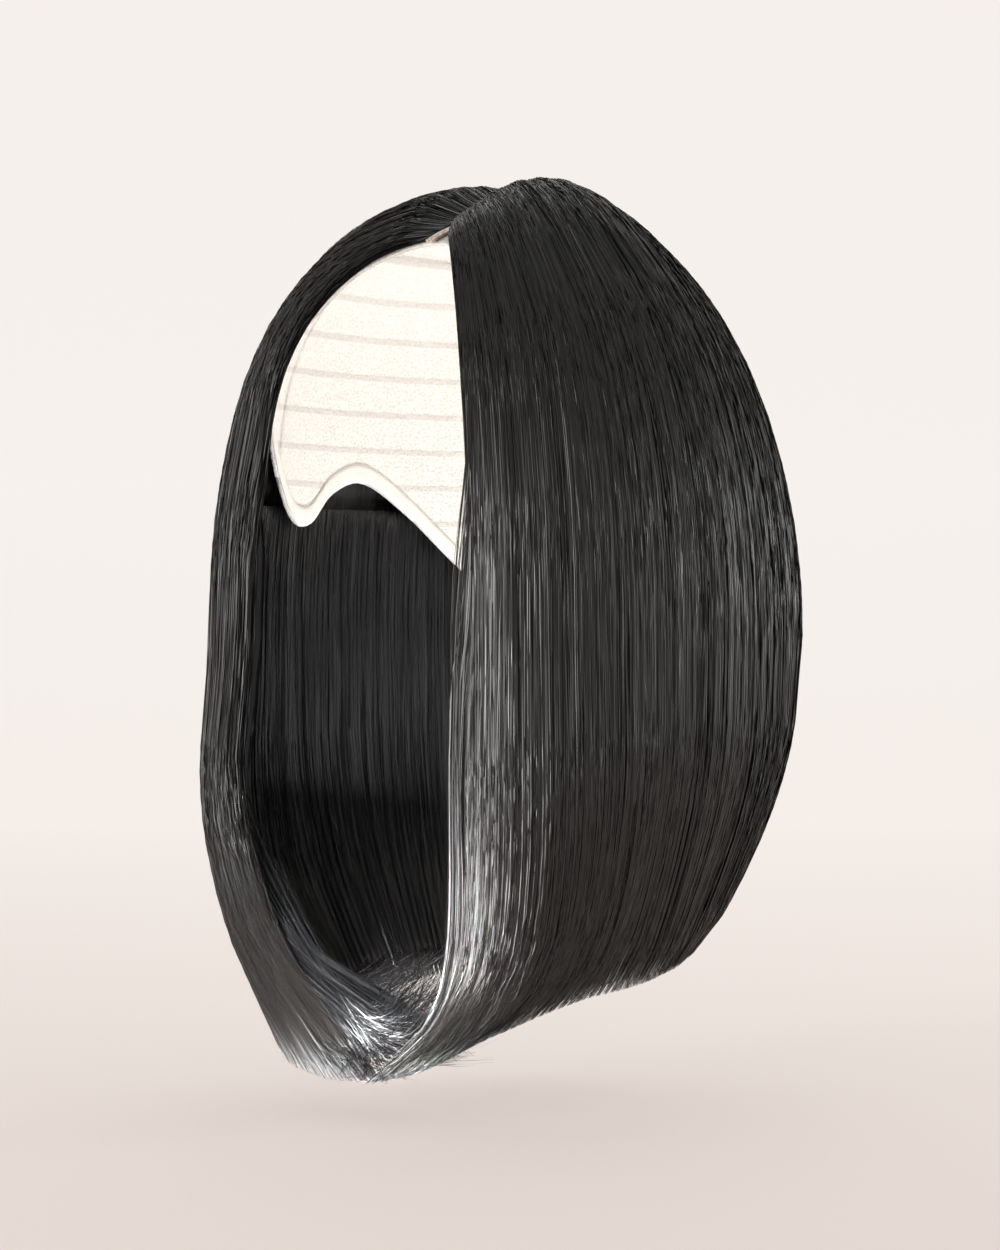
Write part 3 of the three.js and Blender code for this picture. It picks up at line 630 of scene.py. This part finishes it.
# section: its turns, its strands, and how far its tips sweep on under the chin
UNDER_SECTIONS = {"right_under_hair": (-156, -41, 2600, -24), "back_under_hair": (-41, 41, 900, 0),
                  "left_under_hair": (41, 136, 1500, 0), "nape_hair": (-52, 52, 700, 0)}
# painted shade: the same fibre in darker, bluer colours, for the shade inside the curtain
UNDER_SHADED_DARK = (0.0035, 0.0036, 0.0042, 1)
UNDER_SHADED_LIGHT = (0.016, 0.0165, 0.018, 1)
UNDER_STEPS, UNDER_THICKER = 14, 1.15
UNDER_COLUMNS, UNDER_ROWS, UNDER_BED_RISE = 57, 36, 6.5
UNDER_BED_SINK, UNDER_BED_LEAST = 0.3, 0.4
UNDER_GATHER, UNDER_SWAY = 1.6, (0.35, 0.5, 1.5)
ROOT_SCATTER, SWEEP_SCATTER = (-1, 9), (0.85, 1.3)
INNER_SHARE, INNER_SKIN, OUTER_SKIN = 0.7, 0.12, 0.15
UNDER_ROLL, UNDER_TONE, UNDER_TONE_SPREAD = 0.5, 0.45, 0.25
BACK_CURL_TURN, CURL_GROWS = 95.0, 40.0
UNDER_CLUMP_TURN, UNDER_CLUMP_SHARE = 2.1, 0.6
BACK_RAGGED, FRONT_RAGGED = 7.0, 26.0
LOOSE_SHARE, LOOSE_TURN = 0.35, -100.0


def plumb(turn, top, down, sweep=0.0):
    """Points of the outline from a level below the top of the head to the hem."""
    power = dome_power(outline_plan(turn)[..., 1])
    level = mix(top, WIDEST_DROP, np.clip(down / PLUMB_SHARE, 0, 1))
    rise = (WIDEST_DROP - level) / (TOP_LOFT + WIDEST_DROP)
    hang = outline_plan(turn) * ((1 - rise**power) ** (1 / power))[..., None]
    fall = on_fall(turn, np.clip((down - PLUMB_SHARE) / (1 - PLUMB_SHARE), 0, 1), hem_at(turn), sweep)
    return np.where((down <= PLUMB_SHARE)[..., None], np.concatenate([hang, -level[..., None]], -1), fall)


def curl_in(turn, points, hem):
    curl = mix(BACK_CURL, FRONT_CURL, ease((np.abs(turn) - BACK_CURL_TURN) / CURL_GROWS))
    step = np.clip((-points[..., 2] - WIDEST_DROP) / (hem - WIDEST_DROP), 0, 1)
    return curl * ease((step - CURL_START) / (1 - CURL_START))


def nape_reach(turn):
    top = plumb(turn, NAPE_DROP, np.zeros_like(turn))
    return np.hypot(top[..., 0], top[..., 1]) - depth_to_cap(top) + NAPE_WALL


def under_depths(turn, points):
    tuck, wall = tuck_and_wall(turn, points)
    near = tuck + wall + LAYER_GAP + curl_in(turn, points, hem_at(turn) - UNDER_RISE)
    filled = np.hypot(points[..., 0], points[..., 1]) - nape_reach(turn) - LAYER_GAP - near
    behind = ease((NAPE_TURN - np.abs(turn)) / NAPE_FADE)
    thickness = mix(UNDER_WALL, np.maximum(UNDER_WALL, filled), behind)
    return near, np.minimum(near + thickness, depth_to_cap(points))


def nape_depths(turn, points):
    tuck, wall = tuck_and_wall(turn, points)
    beside = tuck + wall + 2 * LAYER_GAP + UNDER_WALL + curl_in(turn, points, hem_at(turn) - NAPE_RISE)
    near = np.maximum(np.hypot(points[..., 0], points[..., 1]) - nape_reach(turn), beside)
    return near, near + NAPE_WALL


# the under layers' finishes carry that painted shade
under_strands = hair_finish("under_fibre", UNDER_SHADED_DARK, UNDER_SHADED_LIGHT, 0.34)
under_bed = bed_finish("dense_under_fibre", UNDER_SHADED_DARK, UNDER_SHADED_LIGHT, 0.5)
for node_name, (start, end, strands, sweep) in UNDER_SECTIONS.items():
    base, top, rise, depths = node_name, UNDER_DROP, UNDER_RISE, under_depths
    if node_name == "nape_hair":
        base, top, rise, depths = "nape", NAPE_DROP, NAPE_RISE, nape_depths
    columns = np.linspace(start + BED_INSET, end - BED_INSET, UNDER_COLUMNS)
    turns, downs = np.meshgrid(columns, np.linspace(0, 1, UNDER_ROWS), indexing="ij")
    downs = downs * (1 - (1 - PLUMB_SHARE) * (rise + UNDER_BED_RISE) / (hem_at(turns) - WIDEST_DROP))
    surface = plumb(turns, top, downs, sweep)
    way = inward(surface)
    near, far = depths(turns, surface)
    near = np.minimum(near + UNDER_BED_SINK, far - UNDER_BED_LEAST)
    far = far - UNDER_BED_SINK
    bed = closed_wall(surface + way * near[..., None], surface + way * far[..., None])
    add_piece(base + "_bed", bed, under_bed, [node_name])

    at = rng.uniform(start, end, strands)
    clump = np.round(at / UNDER_CLUMP_TURN) * UNDER_CLUMP_TURN
    ragged = mix(BACK_RAGGED, FRONT_RAGGED, ease((-at - BACK_CURL_TURN) / CURL_GROWS))
    lift = rise + ragged * rng.random(strands) ** UNDER_GATHER
    last = 1 - (1 - PLUMB_SHARE) * lift / (hem_at(at) - WIDEST_DROP)
    place = np.linspace(0, 1, UNDER_STEPS)
    downs = mix(place, np.sin(math.pi / 2 * place), 0.5) * last[:, None]
    aside = sway(strands, downs, *UNDER_SWAY)
    turns = mix(at[:, None], clump[:, None], UNDER_CLUMP_SHARE * ease(downs)) + aside
    turns = np.clip(turns, start, end)
    root_level = top + rng.uniform(*ROOT_SCATTER, (strands, 1))
    surface = plumb(turns, root_level, downs, sweep * rng.uniform(*SWEEP_SCATTER, (strands, 1)))
    way = inward(surface)
    near, far = depths(turns, surface)
    deep = rng.random((strands, 1))
    innermost = rng.random((strands, 1)) < INNER_SHARE
    deep = np.where(innermost, 1 - INNER_SKIN * deep, OUTER_SKIN * deep)
    tuck, wall = tuck_and_wall(turns, surface)
    loose = np.where((at < LOOSE_TURN) & (rng.random(strands) < LOOSE_SHARE), rng.random(strands), 1)
    depth = mix(tuck + wall, near + (far - near) * deep, loose[:, None])
    paths = surface + way * depth[..., None]
    roll = rng.normal(0, UNDER_ROLL, (strands, 1)) + waver(strands, UNDER_STEPS, *ROLL_WAVE)
    tone = np.clip(rng.normal(UNDER_TONE, UNDER_TONE_SPREAD, (strands, 1)), 0, 1)
    strand_piece(base + "_strands", paths, -way, strand_width(strands, UNDER_STEPS) * UNDER_THICKER, roll,
                 tone, under_strands)

# the ends of the long side curl under and in towards the neck, and a painted highlight makes them pale
# where they catch the light
CHIN_STRANDS, CHIN_STEPS = 1100, 14
CHIN_TURN, CHIN_SPAN, CHIN_GATHER = -158.0, 44.0, 1.5
# where each strand starts, bends and leaves the curtain: shares of the fall, and depths inside its wall
CHIN_LEVELS, CHIN_DEPTHS = ((0.35, 0.62), (0.82, 0.93), (0.97, 1.0)), ((0.5, 3), (0.5, 4), (1, 6))
TIP_FRONT, TIP_RUN, TIP_SCATTER, TIP_LEVELS = (34, -70), (-38, 20), (5, 7), (-281, -244)
LOW_TIP_BOX = ((0, 26), (-96, -72), (-286, -272))
CHIN_ROLL, CHIN_ROLL_WAVE = 0.6, (0.4, 0.5, 2)
CHIN_AHEAD, LOW_TIPS = 14.0, 0.3
CHIN_FACING = (0.0, 0.35, 0.94)
# painted highlight: the share of curling strands that turn pale, where along them, and how pale
CHIN_GLINT_SHARE, CHIN_GLINT_PLACE, CHIN_GLINT_LENGTH, CHIN_GLINT_LOW, CHIN_GLINT_SPAN = 0.6, 0.62, 0.2, 1.2, 0.8
at = CHIN_TURN + CHIN_SPAN * rng.random(CHIN_STRANDS) ** CHIN_GATHER
back = (at - CHIN_TURN) / CHIN_SPAN
hem = hem_at(at)


def curtain_inside(turn, step, extra):
    surface = on_fall(turn, step, hem)
    tuck, wall = tuck_and_wall(turn, surface)
    return surface + inward(surface) * (tuck + wall + extra)[..., None]


start, over, under = [
    curtain_inside(at, rng.uniform(*levels, CHIN_STRANDS), rng.uniform(*depths, CHIN_STRANDS))
    for levels, depths in zip(CHIN_LEVELS, CHIN_DEPTHS)]
under[:, 0] += CHIN_AHEAD * (1 - back)
low = rng.random(CHIN_STRANDS) < LOW_TIPS
tips = np.stack([TIP_FRONT[0] + TIP_RUN[0] * back + rng.normal(0, TIP_SCATTER[0], CHIN_STRANDS),
                 TIP_FRONT[1] + TIP_RUN[1] * back + rng.normal(0, TIP_SCATTER[1], CHIN_STRANDS),
                 rng.uniform(*TIP_LEVELS, CHIN_STRANDS)], -1)
low_tips = np.stack([rng.uniform(*span, CHIN_STRANDS) for span in LOW_TIP_BOX], -1)
tips = np.where(low[:, None], low_tips, tips)
place = np.linspace(0, 1, CHIN_STEPS)[None, :, None]
paths = ((1 - place) ** 3 * start[:, None] + 3 * (1 - place) ** 2 * place * over[:, None] +
         3 * (1 - place) * place**2 * under[:, None] + place**3 * tips[:, None])
facing = np.broadcast_to(CHIN_FACING, paths.shape)
tone = np.clip(rng.normal(UNDER_TONE, UNDER_TONE_SPREAD, (CHIN_STRANDS, 1)), 0, 1)
# painted highlight: many of the curling strands turn pale near the middle of their length
painted_glint = np.exp(-(((place[..., 0] - CHIN_GLINT_PLACE) / CHIN_GLINT_LENGTH) ** 2))
painted_glint = (rng.random((CHIN_STRANDS, 1)) < CHIN_GLINT_SHARE) * painted_glint
tone = tone + painted_glint * (CHIN_GLINT_LOW + CHIN_GLINT_SPAN * rng.random((CHIN_STRANDS, 1)) - tone)
roll = rng.normal(0, CHIN_ROLL, (CHIN_STRANDS, 1)) + waver(CHIN_STRANDS, CHIN_STEPS, *CHIN_ROLL_WAVE)
strand_piece("chin_curl_strands", paths, facing, strand_width(CHIN_STRANDS, CHIN_STEPS), roll, tone,
             under_strands)

# Face lock
# A few fine strands have slipped ahead of the front edge on the wearer's left. They are the same fibre,
# only loose; tones above 1 paint the light they catch as a pale highlight.
LOCK_FROM, LOCK_TO, LOCK_STRANDS = 142.6, 145.0, 60
LOCK_START, LOCK_START_SPREAD, LOCK_RAGGED, LOCK_LEAVES = 0.3, 0.16, 22.0, 0.3
LOCK_DEEP, LOCK_WALL = 1.6, 2.2
# the lock's tones run up to 1.8, which mixes in the pale painted highlight
LOCK_STRAY, LOCK_STRAY_WAVES, LOCK_ROLLS, LOCK_TONES_AND_GLINTS = 0.6, (1, 2.5), (-1, 1), (0.4, 1.8)
at = rng.uniform(LOCK_FROM, LOCK_TO, LOCK_STRANDS)
place = strand_places(LOCK_STRANDS)
lift = LOCK_RAGGED * rng.random(LOCK_STRANDS)
last = 1 - (1 - DOME_SHARE) * lift / (hem_at(at) - WIDEST_DROP)
first = LOCK_START + LOCK_START_SPREAD * rng.random((LOCK_STRANDS, 1))
downs = first + (last[:, None] - first) * place
stray = rng.normal(0, LOCK_STRAY, (LOCK_STRANDS, 1))
stray = stray * np.sin(math.pi * place * rng.uniform(*LOCK_STRAY_WAVES, (LOCK_STRANDS, 1)))
turns = mix(LEFT_EDGE - 1, at[:, None], ease(place / LOCK_LEAVES)) + stray
surface = combed(turns, downs)
way = inward(surface)
tuck, _ = tuck_and_wall(turns, surface)
depth = tuck + LOCK_DEEP + LOCK_WALL * rng.random((LOCK_STRANDS, 1))
strand_piece("left_face_lock_strands", surface + way * depth[..., None], -way,
             strand_width(LOCK_STRANDS, STRAND_STEPS), rng.uniform(*LOCK_ROLLS, (LOCK_STRANDS, 1)),
             rng.uniform(*LOCK_TONES_AND_GLINTS, (LOCK_STRANDS, 1)), hair_strands, ["left_face_lock"])

# Parting lace
# A narrow strip of skin-coloured lace lies under the parting, and the hair is knotted into it one strand
# at a time, so that its knots show as fine dark dots.
STRIP_HALF, STRIP_THICK, STRIP_END, STRIP_LIFT = 1.5, 0.8, 0.9, 1.6
STRIP_ROWS, STRIP_COLUMNS, STRIP_GAP = 61, 9, 0.4
LACE_COLOUR = (0.66, 0.54, 0.44, 1)
KNOT_COLOUR = (0.10, 0.07, 0.055, 1)
KNOT_SCALE, KNOT_SHARE, LACE_BUMP = 1100, 0.8, (0.4, 0.0002)
lace = Finish("parting_lace", 0.7)
knot = lace.node("TexVoronoi", {}, {"Vector": lace.place(), "Scale": KNOT_SCALE})
knot_mask = lace.node("ValToRGB", {"stops": [(0.28, 1.0), (0.42, 0.0)]}, {0: knot})
lace.join(lace.blend(knot_mask * KNOT_SHARE, LACE_COLOUR, KNOT_COLOUR), lace.shader["Base Color"])
lace.raise_by(knot_mask, *LACE_BUMP)
strip_length = PARTING_FRONT + PARTING_BACK + (WHORL_LENGTH - STRIP_GAP) * STRIP_END
strip_y = np.linspace(0, strip_length, STRIP_ROWS) - PARTING_FRONT
past = np.clip(strip_y - PARTING_BACK, 0, None) / (WHORL_LENGTH - STRIP_GAP)
half = STRIP_HALF * np.sqrt(1 - past**2)
strip_x = PARTING_OFFSET + np.linspace(-1, 1, STRIP_COLUMNS)[:, None] * half
dome = on_dome(np.stack([strip_x, np.broadcast_to(strip_y, strip_x.shape)], -1))
strip = closed_wall(lifted_off(dome, STRIP_LIFT + STRIP_THICK), lifted_off(dome, STRIP_LIFT))
add_piece("parting_lace", strip, lace, ["parting_strip"])

# Studio
# A pale seamless paper lies under and behind the wig and glows a little of itself. Soft square lights
# stand above, in front and at both sides, and the camera has a long lens.
FLOOR_LEVEL = -0.300
PAPER_COLOUR = (0.23, 0.222, 0.216, 1)
PAPER_NEAR_GLOW = (0.53, 0.455, 0.42, 1)
PAPER_FAR_GLOW = (0.755, 0.72, 0.69, 1)
PAPER_NEAR_RUN, PAPER_FAR_RUN = -0.3, 2.4
VIEW_TURN, BEND_ROWS = 40, 16
view_turn = math.radians(VIEW_TURN)
look = np.array([-math.sin(view_turn), math.cos(view_turn), 0])
paper = Finish("seamless_paper", 0.9, Base_Color=PAPER_COLOUR, Emission_Strength=1.0)
paper_x, paper_y, _ = paper.split(paper.place())
run = paper_x * float(look[0]) + paper_y * float(look[1])
fade = paper.node("MapRange", {}, {"Value": run, "From Min": PAPER_NEAR_RUN, "From Max": PAPER_FAR_RUN})
paper.join(paper.blend(fade, PAPER_NEAR_GLOW, PAPER_FAR_GLOW), paper.shader["Emission Color"])
across = np.array([math.cos(view_turn), math.sin(view_turn), 0])
FRONT_RUN, BACK_RUN, BEND_RADIUS, PAPER_TOP, PAPER_HALF = -4.0, 1.6, 1.2, 5.0, 6
profile = [(FRONT_RUN, FLOOR_LEVEL), (BACK_RUN, FLOOR_LEVEL)]
profile += [(BACK_RUN + BEND_RADIUS * math.sin(a), FLOOR_LEVEL + BEND_RADIUS * (1 - math.cos(a)))
            for a in np.linspace(0.1, math.pi / 2, BEND_ROWS)]
profile += [(BACK_RUN + BEND_RADIUS, PAPER_TOP)]
paper_points = [tuple(look * run + across * side + np.array([0, 0, level]))
                for run, level in profile for side in (-PAPER_HALF, PAPER_HALF)]
paper_faces = [(2 * i, 2 * i + 1, 2 * i + 3, 2 * i + 2) for i in range(len(profile) - 1)]
paper_mesh = bpy.data.meshes.new("paper")
paper_mesh.from_pydata(paper_points, [], paper_faces)
paper_mesh.polygons.foreach_set("use_smooth", np.ones(len(paper_faces), bool))
paper_mesh.materials.append(paper.material)
paper_sweep = bpy.data.objects.new("paper", paper_mesh)
bpy.context.scene.collection.objects.link(paper_sweep)

ROOM_COLOUR, ROOM_STRENGTH = (1.0, 0.985, 0.97, 1), 0.5
world = bpy.data.worlds.new("soft_room")
world.use_nodes = True
room_light = world.node_tree.nodes["Background"].inputs
room_light["Color"].default_value = ROOM_COLOUR
room_light["Strength"].default_value = ROOM_STRENGTH
bpy.context.scene.world = world
bpy.context.scene.view_settings.view_transform = "Standard"

AIM = np.array([0, 0, -0.14])
CURL_SPOT = (0.005, -0.07, -0.265)
CAP_LIGHT_SPOT, CAP_LIGHT_AIM = (0, 0, -0.2), (0, 0.02, 0)


def softbox(name, turn, rise, away, size, power):
    """A square soft light, placed by its turn from the camera's side and its rise above the level."""
    turn, rise = view_turn + math.radians(turn), math.radians(rise)
    level = away * math.cos(rise)
    spot = AIM + np.array([level * math.sin(turn), -level * math.cos(turn), away * math.sin(rise)])
    lamp = bpy.data.lights.new(name, "AREA")
    lamp.size, lamp.energy = size, power
    lit = bpy.data.objects.new(name, lamp)
    bpy.context.scene.collection.objects.link(lit)
    lit.location = spot
    target = bpy.data.objects.new(name + "_aim", None)
    bpy.context.scene.collection.objects.link(target)
    target.location = AIM
    track = lit.constraints.new("TRACK_TO")
    track.target, track.track_axis, track.up_axis = target, "TRACK_NEGATIVE_Z", "UP_Y"
    return lit


# each light's turn, rise, distance, size and power
softbox("top_light", 165, 62, 1.6, 1.0, 6)
softbox("front_light", -56, 6, 1.3, 0.5, 9)
softbox("side_light", 58, 4, 1.3, 0.6, 3.2)
softbox("right_rim", 104, 6, 1.2, 0.4, 3.8)
# a narrow light into the curl under the chin, which the paper doesn't receive
curl_light = softbox("curl_light", -24, 24, 1.0, 0.04, 0.18)
curl_light.data.spread = math.radians(7)
bpy.data.objects["curl_light_aim"].location = CURL_SPOT
wig_only = bpy.data.collections.new("wig_only")
for piece in bpy.data.objects:
    if piece.type == "MESH" and piece is not paper_sweep:
        wig_only.objects.link(piece)
curl_light.light_linking.receiver_collection = wig_only
# a small light inside the wig, which shows the inside of the cap
cap_light = softbox("cap_light", 0, 0, 0.02, 0.06, 0.22)
cap_light.visible_camera = False
cap_light.location = CAP_LIGHT_SPOT
bpy.data.objects["cap_light_aim"].location = CAP_LIGHT_AIM

LENS, SENSOR, CAMERA_AWAY = 99.9, 36, 1.2
CAMERA_ASIDE, CAMERA_UP = 0.0031, 0.0024
camera_data = bpy.data.cameras.new("camera")
camera_data.lens, camera_data.sensor_width = LENS, SENSOR
camera = bpy.data.objects.new("camera", camera_data)
bpy.context.scene.collection.objects.link(camera)
camera.location = AIM - look * CAMERA_AWAY - across * CAMERA_ASIDE + np.array([0, 0, CAMERA_UP])
camera.rotation_euler = (math.radians(90), 0, view_turn)
bpy.context.scene.camera = camera
